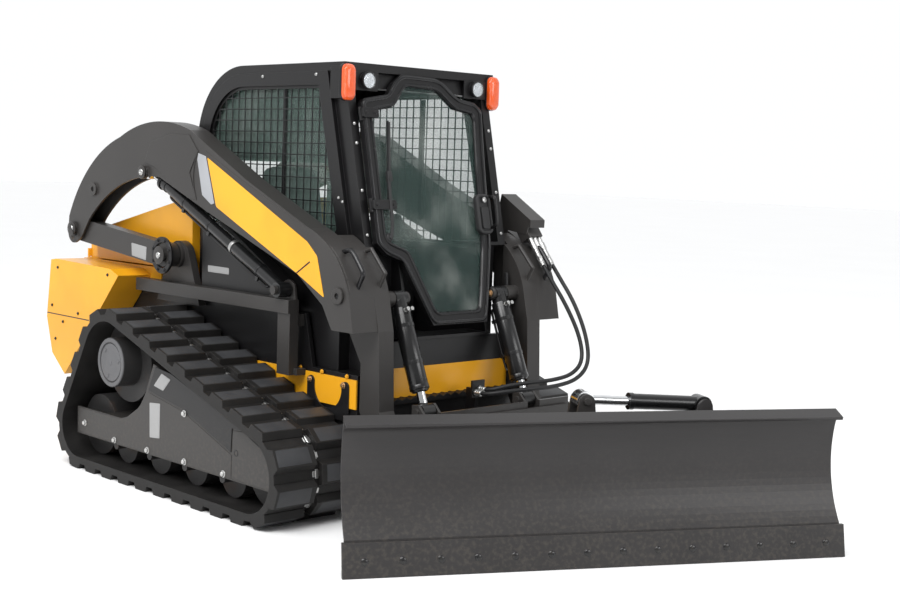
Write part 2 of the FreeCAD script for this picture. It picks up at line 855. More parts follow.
link_run = Vector(
    0, (S.arm_pivot_y - S.link_pivot_y).value, (S.arm_pivot_z - S.link_pivot_z).value
)
link_length = root(
    (S.arm_pivot_y - S.link_pivot_y) * (S.arm_pivot_y - S.link_pivot_y)
    + (S.arm_pivot_z - S.link_pivot_z) * (S.arm_pivot_z - S.link_pivot_z)
)
link_outline = [
    (0, -S.link_depth / 2), (link_length, -S.link_depth / 2, S.link_depth / 2 + S.pin_gap),
    (link_length, S.link_depth / 2), (0, S.link_depth / 2, S.link_depth / 2 + S.pin_gap),
]
bore = S.pivot_pin_radius + 0.06
link = plate(
    "rear_link", "yz", S.link_inner, S.link_width, link_outline,
    holes=[(0, 0, bore), (link_length, 0, bore)],
)
link.Placement = Placement(
    Vector(0, S.link_pivot_y.value, S.link_pivot_z.value),
    Rotation(Vector(1, 0, 0), math.degrees(math.atan2(link_run.z, link_run.y))),
)
pair("rear_links", link)

# -------------------------------------------------------------- loader arms

arm_top = [
    (S.arch_tail_y, S.arch_tail_z, S.arch_rear_radius),
    (S.arch_shoulder_y, S.arch_shoulder_z, S.arch_crown_radius),
    (S.arch_crown_y, S.arch_crown_z),
    (S.arm_mid_y, S.arm_mid_z), (S.arm_elbow_y, S.arm_elbow_z, S.elbow_radius),
    (S.arm_brow_y, S.arm_brow_z),
]
tail = [
    (S.arch_heel_y, S.arch_heel_z), (S.arm_pivot_y - 75, S.arm_pivot_z - 45),
    (S.arm_pivot_y - 20, S.arm_pivot_z - 72, 60), (S.arm_pivot_y + 62, S.arm_pivot_z - 20),
]
under = [
    (S.leg_front_y + 22, 850), (S.leg_front_y + 165, 850), (S.arm_under_y - 180, S.arm_under_z - 122),
    (S.arm_under_y, S.arm_under_z),
    (S.arch_under_y, S.arch_under_z), (S.arch_inside_y, S.arch_inside_z, -S.arch_crown_radius),
]
plate_outline = under + tail + arm_top
outer_plate = plate(
    "arm_outer_plate", "yz", S.arm_outer - S.arm_plate, S.arm_plate, plate_outline,
)
inner_plate = plate("arm_inner_plate", "yz", S.arm_inner, S.arm_plate, plate_outline)


def strip(name, top, thickness, start, width):
    """A skin that follows the top of an outline, `thickness` deep."""
    low = [(p[0], p[1] - thickness) for p in top]
    back = []
    for index in range(len(top) - 1, -1, -1):
        bend = top[index - 1] if index else ()
        back.append(low[index] + ((-bend[2],) if len(bend) == 3 else ()))
    return plate(name, "yz", start, width, top + back)


inside = S.arm_inner + S.arm_plate
gap_between = S.arm_outer - S.arm_plate - inside
top_skin = strip("arm_top_skin", arm_top, S.arm_plate * 2, inside, gap_between)
belly = [
    (S.arm_under_y - 180, S.arm_under_z - 122), (S.arm_under_y, S.arm_under_z),
    (S.arm_mid_y - 150, S.arm_mid_z - 315), (S.arm_mid_y - 150, S.arm_mid_z - 290),
    (S.arm_under_y, S.arm_under_z + 26), (S.arm_under_y - 190, S.arm_under_z - 96),
]
belly_skin = plate("arm_belly_skin", "yz", inside, gap_between, belly)
leg_outline = [
    (S.coupler_y - S.leg_eye_radius, S.coupler_z, S.leg_eye_radius * 1.01),
    (S.coupler_y + S.leg_eye_radius, S.coupler_z),
    (S.leg_rear_y, S.leg_rear_z - 150), (S.leg_rear_y, S.leg_rear_z + 60),
    (S.leg_rear_y + 85, S.leg_rear_z + 190), (S.leg_rear_y + 145, S.leg_rear_z + 360),
    (S.arm_elbow_y - 60, S.arm_elbow_z - 28, S.elbow_radius - 60),
    (S.arm_brow_y, S.arm_brow_z), (S.leg_front_y + 17, 850), (S.leg_front_y, S.leg_front_z),
]
coupler_hole = (S.coupler_y, S.coupler_z, S.coupler_pin_radius + 0.06)
leg = plate(
    "arm_leg", "yz", S.leg_shoulder, S.leg_outer - S.leg_shoulder, leg_outline,
    holes=[coupler_hole],
)
# beside the cab's front post the leg is cut back
shoulder_y = S.leg_rear_y + 61
shoulder_outline = leg_outline[:4] + [
    (shoulder_y, S.leg_rear_z + 153), (shoulder_y, S.arm_elbow_z - 90),
    (shoulder_y - 6, S.arm_elbow_z - 76.7, S.elbow_radius - 60),
] + leg_outline[7:]
leg_shoulder = plate(
    "arm_leg_shoulder", "yz", S.leg_inner, S.leg_shoulder - S.leg_inner, shoulder_outline,
    holes=[coupler_hole],
)
cheek_outline = [
    (S.leg_front_y + 22, 850), (S.leg_front_y + 165, 850), (S.leg_rear_y + 145, S.leg_rear_z + 360),
    (S.arm_elbow_y - 60, S.arm_elbow_z - 28, S.elbow_radius - 60), (S.arm_brow_y, S.arm_brow_z),
]
cheek = plate(
    "arm_cheek", "yz", S.leg_outer, S.arm_outer - S.arm_plate - S.leg_outer, cheek_outline,
)
arm_pin = cylinder(
    "arm_pivot_pin", "x", (S.arm_inner, S.arm_pivot_y, S.arm_pivot_z),
    S.pivot_pin_radius, S.arm_outer + 14 - S.arm_inner,
)
lift_eye_pin = cylinder(
    "lift_eye_pin", "x", (S.arm_outer - S.arm_plate, S.lift_eye_y, S.lift_eye_z),
    S.lift_pin_radius, S.arm_plate + 18,
)
tilt_stub = cylinder(
    "tilt_top_pin", "x", (S.tilt_centre - S.tilt_eye_radius - 12, S.tilt_top_y, S.tilt_top_z),
    S.tilt_pin_radius, S.leg_inner - S.tilt_centre + S.tilt_eye_radius + 12,
)
collar_start = S.tilt_centre + S.tilt_eye_radius + S.moving_gap
tilt_collar = cylinder(
    "tilt_top_collar", "x", (collar_start, S.tilt_top_y, S.tilt_top_z),
    S.tilt_eye_radius, S.leg_inner - collar_start,
)
ring_parts = []
for name, (ring_y, ring_z) in (("rear", (1189, 1384)), ("front", (-855, 1001))):
    start = (S.arm_outer, ring_y, ring_z)
    disc = cylinder(f"lift_ring_{name}_disc", "x", start, S.ring_radius, S.arm_plate)
    eye = cylinder(f"lift_ring_{name}_eye", "x", start, S.ring_hole, S.arm_plate)
    ring_parts.append(cut(f"lift_ring_{name}", disc, eye))
eye_boss = cylinder(
    "lift_eye_boss", "x", (S.arm_outer, S.lift_eye_y, S.lift_eye_z), S.lift_eye_radius, 10
)
handle_x = S.leg_inner + 42
handle_points = [(handle_x, y, z) for y, z in ((-781, 1177), (-847, 1199), (-942, 1100), (-896, 1019))]
arm_parts = [
    outer_plate, inner_plate, top_skin, belly_skin, leg, leg_shoulder, cheek, arm_pin,
    lift_eye_pin, eye_boss, tilt_stub, tilt_collar,
] + ring_parts + bent_rod("grab_handle", handle_points, S.grab_radius)
pair("loader_arms", fuse("loader_arm", arm_parts))

# the cross tube carries a bulkhead where the hoses for the blade end
cross_start = (-S.leg_inner, S.cross_tube_y, S.cross_tube_z)
cross_bar = cylinder("arm_cross_bar", "x", cross_start, S.cross_tube_radius, 2 * S.leg_inner)
hose_post = box("hose_post", (60, S.bulkhead_y + 10, S.cross_tube_z + 10), (80, S.cross_tube_y, 560))
bulkhead = box("hose_bulkhead", (30, S.bulkhead_y, 520), (110, S.bulkhead_y + 10, 600))
node("arm_cross_tube", fuse("arm_cross_tube", [cross_bar, hose_post, bulkhead]))

# ------------------------------------------- hose couplers under their guard
# The left leg carries a folded guard over a block of hose couplers.

guard_web = [
    (-694, 1190), (-615, 1190), (-612, 1300), (-645, 1436), (-845, 1318), (-820, 1250),
    (-760, 1258), (-694, 1266),
]
guard_roof = [(-843, 1314), (-643, 1432), (-647, 1440), (-848, 1321)]
guard_lip = [(-846, 1284), (-840, 1284), (-842, 1318), (-848, 1318)]
coupler_block = [(-841, 1244), (-793, 1208), (-739, 1280), (-787, 1316)]
node("coupler_guard", fuse("coupler_guard", [
    plate("guard_web", "yz", S.guard_x, 6, guard_web),
    plate("guard_roof", "yz", S.guard_x, 100, guard_roof),
    plate("guard_lip", "yz", S.guard_x, 100, guard_lip),
    plate("guard_block", "yz", S.guard_x + 2, 95, coupler_block),
]))

couplers = []
for index in range(3):
    coupler_x = 562 + S.coupler_pitch * index
    root_end, tip = (coupler_x, -826.8, 1233), (coupler_x, -891.6, 1146.6)
    couplers.append(fuse(f"hose_coupler_{index}", [
        strut(f"coupler_body_{index}", root_end, tip, 12),
        strut(f"coupler_collar_{index}", along(root_end, tip, 0.3), along(root_end, tip, 0.6), 15),
    ]))
group("hose_couplers", couplers)


def hose(label, points):
    """A hose through its points: straight runs with an arc at each bend."""
    radius = S.hose_diameter.value / 2
    spots = [Vector(*point) for point in points]
    edges = []
    last = spots[0]
    for before, bend, after in zip(spots, spots[1:], spots[2:]):
        entry, leave = before - bend, after - bend
        half_turn = (math.pi - entry.getAngle(leave)) / 2
        setback = 0.45 * min(entry.Length, leave.Length)
        start = bend + entry.normalize() * setback
        end = bend + leave.normalize() * setback
        bisector = (entry + leave).normalize()
        arc_radius = setback / math.tan(half_turn)
        middle = bend + bisector * (arc_radius / math.cos(half_turn) - arc_radius)
        edges.append(Part.LineSegment(last, start).toShape())
        edges.append(Part.Arc(start, middle, end).toShape())
        last = end
    edges.append(Part.LineSegment(last, spots[-1]).toShape())
    way = Part.Wire(edges)
    ring = Part.Wire([Part.makeCircle(radius, spots[0], spots[1] - spots[0])])
    thing = doc.addObject("Part::Feature", label)
    thing.Shape = way.makePipeShell([ring], True, False)
    print(f"{label}: {way.Length:.1f} mm long")
    return node(label, thing)


hose("hose_front", [
    (562, -891.8, 1146.3), (566, -960, 1055), (580, -1060, 930), (585, -1150, 790),
    (565, -1195, 680), (490, -1200, 620), (370, -1185, 600), (240, -1160, 597),
    (130, -1118, 584), (75, -1066, 560), (75, -1000.3, 560),
])
hose("hose_back", [
    (622, -891.8, 1146.3), (624, -965, 1060), (618, -1075, 945), (612, -1165, 800),
    (588, -1215, 668), (500, -1222, 598), (370, -1205, 574), (240, -1180, 571),
    (115, -1134, 562), (50, -1070, 545), (50, -1000.3, 545),
])


# ----------------------------------------------------------------- cylinders

def ram(name, axis, base, eye, radii, shares):
    """A hydraulic cylinder from its base pin to its rod's pin.

    The pins lie along the axis and radii are those of the barrel, rod, eyes
    and pins. The shares of the distance are where the barrel's bore begins,
    where the barrel ends, and how far in the rod reaches, which leaves it
    room to slide in.
    """
    bore_start, share, inner_end = shares
    base = [as_size(c) for c in base]
    eye = [as_size(c) for c in eye]
    barrel_radius, rod_radius, eye_radius, pin_radius = radii
    reach = barrel_radius + eye_radius
    parts = []
    for part, spot in (("base", base), ("rod", eye)):
        start = [c - eye_radius if letter == axis else c for letter, c in zip("xyz", spot)]
        parts.append(cylinder(f"{name}_{part}_eye", axis, start, eye_radius, 2 * eye_radius))
        start = [c - reach if letter == axis else c for letter, c in zip("xyz", spot)]
        bore = pin_radius + 0.06
        parts.append(cylinder(f"{name}_{part}_bore", axis, start, bore, 2 * reach))
    gland = along(base, eye, share)
    neck = along(base, eye, share * 0.94)
    tube = strut(f"{name}_tube", base, gland, barrel_radius)
    head = strut(f"{name}_head", neck, gland, barrel_radius + 3)
    barrel = cut(f"{name}_barrel", fuse(f"{name}_body", [tube, head, parts[0]]), parts[1])
    hollow = strut(
        f"{name}_hollow", along(base, eye, bore_start), along(base, eye, share + 0.01),
        rod_radius + 0.06,
    )
    barrel = cut(f"{name}_shell", barrel, hollow)
    stick = strut(f"{name}_stick", along(base, eye, inner_end), eye, rod_radius)
    rod = cut(f"{name}_rod", fuse(f"{name}_stem", [stick, parts[2]]), parts[3])
    return barrel, rod


barrel, rod = ram(
    "lift", "x", (S.lift_centre, S.lift_base_y, S.lift_base_z),
    (S.lift_centre, S.lift_eye_y, S.lift_eye_z),
    (S.lift_barrel_radius, S.lift_rod_radius, S.lift_eye_radius, S.lift_pin_radius),
    (0.16, 0.92, 0.18),
)
pair("lift_barrels", barrel)
pair("lift_rods", rod)

barrel, rod = ram(
    "tilt", "x", (S.tilt_centre, S.tilt_top_y, S.tilt_top_z),
    (S.tilt_centre, S.tilt_foot_y, S.tilt_foot_z),
    (S.tilt_barrel_radius, S.tilt_rod_radius, S.tilt_eye_radius, S.tilt_pin_radius),
    (0.16, 0.82, 0.3),
)
pair("tilt_barrels", barrel)
pair("tilt_rods", rod)

# ------------------------------------------------------------- quick coupler

coupler_plate = box(
    "coupler_face_plate", (-S.coupler_half, S.coupler_face, S.coupler_bottom),
    (S.coupler_half, S.coupler_face + S.coupler_plate, S.coupler_top),
)
notch_half = S.tilt_eye_radius + 6
notches = []
for side in (1, -1):
    notch_low = (side * S.tilt_centre - notch_half, S.coupler_face - 1, S.coupler_top - 50)
    notch_high = (side * S.tilt_centre + notch_half, S.coupler_face + S.coupler_plate + 1, S.coupler_top + 1)
    notches.append(box(f"coupler_notch_{side + 1}", notch_low, notch_high))
coupler_parts = [cut("coupler_notched_plate", coupler_plate, fuse("coupler_notches", notches))]
coupler_back = S.coupler_face + S.coupler_plate
ear_outline = [
    (S.coupler_y + 45, S.coupler_z - 45), (S.coupler_y + 45, S.coupler_z + 45),
    (coupler_back, S.coupler_top - 40),
    (coupler_back, S.coupler_bottom + 20),
]
for side in (1, -1):
    for ear_x in (S.leg_inner - S.moving_gap - 14, S.leg_outer + S.moving_gap):
        start = ear_x if side > 0 else -ear_x - 14
        coupler_parts.append(plate(f"coupler_ear_{side + 1}_{int(ear_x.value)}", "yz", start, 14, ear_outline))
    start = S.leg_inner - S.moving_gap - 14 if side > 0 else -S.leg_outer - S.moving_gap - 14
    reach = S.leg_outer - S.leg_inner + 2 * S.moving_gap + 28
    coupler_parts.append(
        cylinder(f"coupler_pin_{side + 1}", "x", (start, S.coupler_y, S.coupler_z), S.coupler_pin_radius, reach)
    )
    foot_outline = [
        (S.tilt_foot_y + 30, S.tilt_foot_z - 36), (S.tilt_foot_y + 30, S.tilt_foot_z + 30),
        (S.tilt_foot_y - 10, S.tilt_foot_z + 36), (coupler_back, S.coupler_top),
        (coupler_back, S.coupler_top - 130),
    ]
    for lug_x in (S.tilt_centre - S.tilt_eye_radius - 6 - 12, S.tilt_centre + S.tilt_eye_radius + 6):
        start = lug_x if side > 0 else -lug_x - 12
        coupler_parts.append(
            plate(f"tilt_lug_{side + 1}_{int(lug_x.value)}", "yz", start, 12, foot_outline)
        )
    for head, head_x in enumerate((S.tilt_centre - S.tilt_eye_radius - 26, S.tilt_centre + S.tilt_eye_radius + 6)):
        start = head_x if side > 0 else -head_x - 20
        coupler_parts.append(
            cylinder(
                f"tilt_foot_pin_{side + 1}_{head}", "x", (start, S.tilt_foot_y, S.tilt_foot_z),
                S.tilt_pin_radius, 20,
            )
        )
node("quick_coupler", fuse("quick_coupler", coupler_parts))

# --------------------------------------------------------------- push frame

adapter = box(
    "adapter_plate", (-S.coupler_half + 20, S.coupler_face - 16, S.coupler_bottom + 10),
    (S.coupler_half - 20, S.coupler_face, S.coupler_top - 30),
)
beam_half = S.push_beam_width / 2
nose_y = S.king_pin_y + 105
push_beam = box(
    "push_beam", (-beam_half, nose_y, S.push_beam_bottom),
    (beam_half, S.coupler_face - 16, S.push_beam_top),
)
push_parts = [adapter, push_beam]
nose_radius = beam_half * 1.01
nose_outline = [
    (-beam_half, S.king_pin_y, nose_radius), (beam_half, S.king_pin_y),
    (beam_half, nose_y + 160), (-beam_half, nose_y + 160),
]
for name, level in (("top", S.push_beam_top), ("bottom", S.push_beam_bottom - S.frame_plate_thickness)):
    push_parts.append(
        plate(f"fork_{name}", "xy", level, S.frame_plate_thickness, nose_outline)
    )
pin_low = S.push_beam_bottom - S.frame_plate_thickness - 12
pin_high = S.push_beam_top + S.frame_plate_thickness + 14
king_pin = cylinder(
    "king_pin", "z", (0, S.king_pin_y, pin_low), S.king_pin_radius, pin_high - pin_low
)
push_parts.append(king_pin)
for side in (1, -1):
    for name, level in (("low", S.angle_z - S.angle_eye_radius - 3 - 14), ("high", S.angle_z + S.angle_eye_radius + 3)):
        lug_plate = box(
            f"angle_lug_{name}_{side + 1}", (side * S.angle_base_x - 40, S.angle_base_y - 34, level),
            (side * S.angle_base_x + 40, S.coupler_face - 16, level + 14),
        )
        push_parts.append(lug_plate)
    start = (side * S.angle_base_x, S.angle_base_y, S.angle_z - S.angle_eye_radius - 17)
    push_parts.append(
        cylinder(f"angle_base_pin_{side + 1}", "z", start, S.angle_pin_radius, 2 * S.angle_eye_radius + 34)
    )
node("push_frame", fuse("push_frame", push_parts))

# ----------------------------------------- swing frame, blade and cylinders
# These are drawn with the blade straight ahead, from the king pin's foot,
# and then turned about the king pin to the angle at which the blade stands.

TURNED = Placement(
    Vector(0, S.king_pin_y.value, 0), Rotation(Vector(0, 0, 1), -S.blade_turn.value)
)


def turned(label, thing):
    """A finished sub-part that stands at the blade's angle."""
    thing.Placement = TURNED
    return node(label, thing)


gap = S.moving_gap
hub_low = S.push_beam_bottom + gap
hub_high = S.push_beam_top - gap
hub_radius = S.king_pin_radius + 35
swing_face = S.blade_reach - 177
swing_hub = cylinder("swing_hub", "z", (0, 0, hub_low), hub_radius, hub_high - hub_low)
swing_body = box("swing_body", (-70, -swing_face, hub_low), (70, 0, hub_high))
clevis_base = pin_high + gap
swing_plate = box(
    "swing_plate", (-150, -swing_face, hub_low - 30), (150, -swing_face + 16, clevis_base + 22),
)
king_bore = cylinder(
    "king_bore", "z", (0, 0, hub_low), S.king_pin_radius + 0.08, hub_high - hub_low
)
swing_parts = [swing_hub, swing_body, swing_plate]
for side in (1, -1):
    for name, level in (("low", S.angle_z - S.angle_eye_radius - 20), ("high", S.angle_z + S.angle_eye_radius + 6)):
        inner_x, outer_x = (60, S.angle_eye_x + 30) if side > 0 else (-S.angle_eye_x - 30, -60)
        swing_parts.append(
            box(
                f"swing_ear_{name}_{side + 1}", (inner_x, -S.angle_eye_back - 32, level),
                (outer_x, -S.angle_eye_back + 28, level + 14),
            )
        )
    for head, level in enumerate((S.angle_z - S.angle_eye_radius - 28, S.angle_z + S.angle_eye_radius + 6)):
        start = (side * S.angle_eye_x, -S.angle_eye_back, level)
        swing_parts.append(
            cylinder(f"swing_ear_pin_{side + 1}_{head}", "z", start, S.angle_pin_radius, 22)
        )
tilt_pin = cylinder(
    "blade_tilt_pin", "y", (0, -swing_face - gap - 18, S.blade_pin_z), S.blade_pin_radius, gap + 34
)
swing_parts.append(tilt_pin)
clevis_outline = [
    (S.side_clevis_x - 60, clevis_base + 10), (S.side_clevis_x + 50, clevis_base + 10),
    (S.side_clevis_x + 34, S.side_cylinder_z, 34.5), (S.side_clevis_x - 34, S.side_cylinder_z),
]
side_y = -S.side_back
for name, start in (("front", side_y - S.side_eye_radius - 6 - 12), ("back", side_y + S.side_eye_radius + 6)):
    swing_parts.append(plate(f"side_clevis_{name}", "xz", start, 12, clevis_outline))
swing_parts.append(
    box(
        "side_clevis_foot", (S.side_clevis_x - 60, -swing_face, clevis_base),
        (S.side_clevis_x + 50, side_y + S.side_eye_radius + 18, clevis_base + 22),
    )
)
for head, head_y in enumerate((side_y - S.side_eye_radius - 28, side_y + S.side_eye_radius + 6)):
    start = (S.side_clevis_x, head_y, S.side_cylinder_z)
    swing_parts.append(cylinder(f"side_clevis_pin_{head}", "y", start, S.side_pin_radius, 22))
turned("swing_frame", cut("swing_frame", fuse("swing_all", swing_parts), king_bore))

foot_y = -S.blade_reach + S.edge_thickness
knee_y = foot_y + 24
knee_z = S.edge_height + 12
top_y = -S.blade_reach + S.blade_setback
top_z = S.blade_height - S.blade_lip
skin = S.blade_thickness
chord = root((top_y - knee_y) * (top_y - knee_y) + (top_z - knee_z) * (top_z - knee_z))
face_radius = chord * chord / (8 * S.blade_hollow) + S.blade_hollow / 2
back_radius = face_radius + 6
mould_foot = as_size(18)
mould_outline = [
    (foot_y, mould_foot), (foot_y + skin, mould_foot), (knee_y + skin, knee_z, back_radius),
    (top_y + skin, top_z), (top_y, top_z, -back_radius), (knee_y, knee_z),
]
width = S.blade_width
mould = plate("mould_skin", "yz", -width / 2, width, mould_outline)
lip_outline = [
    (top_y, top_z - 14), (top_y + skin, top_z - 14), (top_y + skin + 2, S.blade_height),
    (top_y - 50, S.blade_height - 26), (top_y - 47, S.blade_height - 38),
    (top_y, S.blade_height - 18),
]
mould_parts = [mould, plate("mould_lip", "yz", -width / 2, width, lip_outline)]
rib_outline = [
    (foot_y + skin, 24), (-S.blade_reach + 150, 60), (-S.blade_reach + 150, top_z - 100),
    (top_y + skin, top_z, -back_radius), (knee_y + skin, knee_z),
]
for index, rib_x in enumerate((-1030, -700, -360, 348, 688, 1018)):
    mould_parts.append(plate(f"mould_rib_{index}", "yz", rib_x, 12, rib_outline))
centre_rib = [
    (foot_y + skin, 24), (-swing_face - 20, 150), (-swing_face - 20, 480),
    (top_y + skin, top_z, -back_radius), (knee_y + skin, knee_z),
]
for index, rib_x in enumerate((-150, 138)):
    mould_parts.append(plate(f"mould_centre_rib_{index}", "yz", rib_x, 12, centre_rib))
pin_hole = (0, S.blade_pin_z, S.blade_pin_radius + 0.08)
pivot_plate = plate(
    "mould_pivot_plate", "xz", -swing_face - gap - 14, 14,
    [(-150, 150), (150, 150), (150, 480), (-150, 480)], holes=[pin_hole],
)
mould_parts.append(pivot_plate)
stiffener = [
    (-S.blade_reach + 150, 90), (-S.blade_reach + 150, 190), (knee_y + 60, 190), (knee_y + 4, 96),
]
mould_parts.append(plate("mould_stiffener", "yz", -1030, 2060, stiffener))
for name, start in (("front", side_y - S.side_eye_radius - 16), ("back", side_y + S.side_eye_radius + 4)):
    foot_outline = [
        (S.side_foot_x - 40, S.side_foot_z - 60), (S.side_foot_x + 40, S.side_foot_z - 60),
        (S.side_foot_x + 34, S.side_foot_z, 34.5), (S.side_foot_x - 34, S.side_foot_z),
    ]
    mould_parts.append(plate(f"side_foot_{name}", "xz", start, 12, foot_outline))
mould_parts.append(
    box(
        "side_foot_base", (S.side_foot_x - 40, top_y + skin + 10, S.side_foot_z - 90),
        (S.side_foot_x + 40, side_y + S.side_eye_radius + 16, S.side_foot_z - 58),
    )
)
mould_parts.append(
    cylinder(
        "side_foot_pin", "y", (S.side_foot_x, side_y - S.side_eye_radius - 16, S.side_foot_z),
        S.side_pin_radius, 2 * S.side_eye_radius + 32,
    )
)
turned("mouldboard", fuse("mouldboard", mould_parts))

edge_slope = (knee_y - foot_y) / (knee_z - mould_foot)
edge_low, edge_high = as_size(2), knee_z - 6
edge_low_y = foot_y + (edge_low - mould_foot) * edge_slope - S.seat_gap
edge_high_y = foot_y + (edge_high - mould_foot) * edge_slope - S.seat_gap
edge_outline = [
    (edge_low_y - S.edge_thickness, edge_low), (edge_low_y, edge_low),
    (edge_high_y, edge_high), (edge_high_y - S.edge_thickness, edge_high),
]
edge = plate("cutting_edge_plate", "yz", -S.edge_width / 2, S.edge_width, edge_outline)
turned("cutting_edge", edge)

side_radii = (S.side_barrel_radius, S.side_rod_radius, S.side_eye_radius, S.side_pin_radius)
barrel, rod = ram(
    "side", "y", (S.side_foot_x, side_y, S.side_foot_z),
    (S.side_clevis_x, side_y, S.side_cylinder_z), side_radii, (0.16, 0.62, 0.27),
)
turned("blade_tilt_barrel", barrel)
turned("blade_tilt_rod", rod)

angle_radii = (S.angle_barrel_radius, S.angle_rod_radius, S.angle_eye_radius, S.angle_pin_radius)
turn = math.radians(S.blade_turn.value)
angle_shares = (("left", 1, (0.065, 0.545, 0.44)), ("right", -1, (0.16, 0.84, 0.18)))
for label, side, shares in angle_shares:
    eye_x, eye_back = side * S.angle_eye_x, S.angle_eye_back
    cosine = Size(math.cos(turn), "cos(Sizes.blade_turn * 1 deg)")
    sine = Size(math.sin(turn), "sin(Sizes.blade_turn * 1 deg)")
    eye_place = (
        eye_x * cosine - eye_back * sine,
        S.king_pin_y - eye_x * sine - eye_back * cosine,
        S.angle_z,
    )
    base_place = (side * S.angle_base_x, S.angle_base_y, S.angle_z)
    barrel, rod = ram(f"angle_{label}", "z", base_place, eye_place, angle_radii, shares)
    node(f"angle_barrel_{label}", barrel)
    node(f"angle_rod_{label}", rod)

# ----------------------------------------------------------------------- cab

cab_foot = S.hull_top + S.seat_gap
inner_half = S.cab_half - S.cab_wall
lean = math.tan(math.radians(S.door_lean.value))


def raked(z, behind):
    """How far back a point at height z is, so far behind the door's plane."""
    slope = Size(lean, "tan(Sizes.door_lean * 1 deg)")
    return S.door_foot_y + behind + (as_size(z) - S.door_foot_z) * slope


corner = S.cab_corner_radius
ROOF_TOP = S.cab_roof_under + S.roof_thickness
SHOULDER_Z = S.cab_roof_under - S.shoulder_drop
side_outline = [
    (S.cab_side_foot_front, cab_foot), (S.cab_rear, cab_foot),
    (S.cab_rear, SHOULDER_Z, corner), (S.cab_roof_rear, S.cab_roof_under),
    (S.cab_side_front_top, S.cab_roof_under), (S.cab_side_front_low, S.cab_side_knee_z),
    (S.cab_side_foot_front, S.cab_side_knee_z - 60),
]


def side_window(grow):
    """The side window's outline, grown by a lap."""
    border = S.window_border - grow
    return [
        (S.cab_side_front_low + border + 20, S.window_sill + 80 - grow),
        (S.cab_side_foot_front + border + 30, S.window_sill - grow),
        (S.cab_rear - border, S.window_sill - grow),
        (S.cab_rear - border, SHOULDER_Z, corner - border),
        (S.cab_roof_rear, S.cab_roof_under - border),
        (S.cab_side_front_top + border, S.cab_roof_under - border),
    ]


cab_parts = []
for name, start in (("left", inner_half), ("right", -S.cab_half)):
    cab_parts.append(
        plate(f"cab_side_{name}", "yz", start, S.cab_wall, side_outline, [side_window(0)])
    )
rear_window = rounded((as_size(-340), as_size(1130)), (as_size(340), as_size(1560)), 60)
back = plate(
    "cab_back", "xz", S.cab_rear - S.cab_wall, S.cab_wall,
    [(-inner_half, cab_foot), (inner_half, cab_foot), (inner_half, SHOULDER_Z),
     (-inner_half, SHOULDER_Z)],
    [rear_window],
)
cab_parts.append(back)
floor_low = (-inner_half, S.cab_side_foot_front, S.cab_floor)
cab_parts.append(box("cab_floor", floor_low, (inner_half, S.cab_rear - S.cab_wall, S.cab_floor + 20)))
bulk_y = S.cab_side_foot_front - 100
nose_half = as_size(255)
nose_wall = 15
nose_low = S.door_foot_z - 44
knee_top = S.cab_side_knee_z - 24
for side in (1, -1):
    tag = side + 1
    web = (nose_half - nose_wall, as_size(400)) if side > 0 else (as_size(-400), -nose_half + nose_wall)
    cab_parts.append(box(f"cab_bulkhead_{tag}", (web[0], bulk_y, cab_foot), (web[1], bulk_y + 20, knee_top)))
    web = (as_size(380), as_size(400)) if side > 0 else (as_size(-400), as_size(-380))
    cab_parts.append(box(f"cab_return_{tag}", (web[0], bulk_y, cab_foot), (web[1], S.cab_side_foot_front + 20, knee_top)))
    web = (as_size(380), inner_half) if side > 0 else (-inner_half, as_size(-380))
    cab_parts.append(
        box(f"cab_web_{tag}", (web[0], S.cab_side_foot_front, cab_foot), (web[1], S.cab_side_foot_front + 20, knee_top))
    )
    web = (as_size(240), S.pillar_outer) if side > 0 else (-S.pillar_outer, as_size(-240))
    cab_parts.append(
        plate(f"cab_ledge_{tag}", "yz", web[0], web[1] - web[0], [
            (raked(knee_top - 15, S.door_gap), knee_top - 15), (S.cab_side_foot_front + 20, knee_top - 15),
            (S.cab_side_foot_front + 20, knee_top), (raked(knee_top, S.door_gap), knee_top),
        ])
    )
    start = S.pillar_inner if side > 0 else -S.pillar_outer
    pillar = [
        (raked(knee_top - 15, S.door_gap), knee_top - 15),
        (raked(knee_top - 15, S.door_gap + S.pillar_depth), knee_top - 15),
        (raked(S.cab_roof_under, S.door_gap + S.pillar_depth), S.cab_roof_under),
        (raked(S.cab_roof_under, S.door_gap), S.cab_roof_under),
    ]
    cab_parts.append(plate(f"cab_pillar_{tag}", "yz", start, S.pillar_outer - S.pillar_inner, pillar))
    start = nose_half - nose_wall if side > 0 else -nose_half
    cheek_outline = [
        (raked(nose_low, S.door_gap), nose_low), (bulk_y + 20, nose_low), (bulk_y + 20, knee_top),
        (raked(knee_top, S.door_gap), knee_top),
    ]
    cab_parts.append(plate(f"cab_nose_{tag}", "yz", start, nose_wall, cheek_outline))
cab_parts.append(box(
    "cab_nose_floor", (-nose_half, raked(nose_low, S.door_gap), nose_low - 15),
    (nose_half, bulk_y + 20, nose_low),
))
cab_parts.append(box("cab_toe_board", (-nose_half, bulk_y, cab_foot), (nose_half, bulk_y + 20, nose_low)))
header_low = S.cab_roof_under - 70
header = [
    (raked(header_low, S.door_gap), header_low),
    (raked(header_low, S.door_gap + S.pillar_depth), header_low),
    (raked(S.cab_roof_under, S.door_gap + S.pillar_depth), S.cab_roof_under),
    (raked(S.cab_roof_under, S.door_gap), S.cab_roof_under),
]
cab_parts.append(plate("cab_header", "yz", -S.pillar_outer, 2 * S.pillar_outer, header))
hood_hinge_y = S.cab_rear + 15
hood_hinge_z = S.hood_front_z + 10
hood_hinges = (S.hood_hinge_x, -S.hood_hinge_x - 2 * S.hinge_leaf - 2)
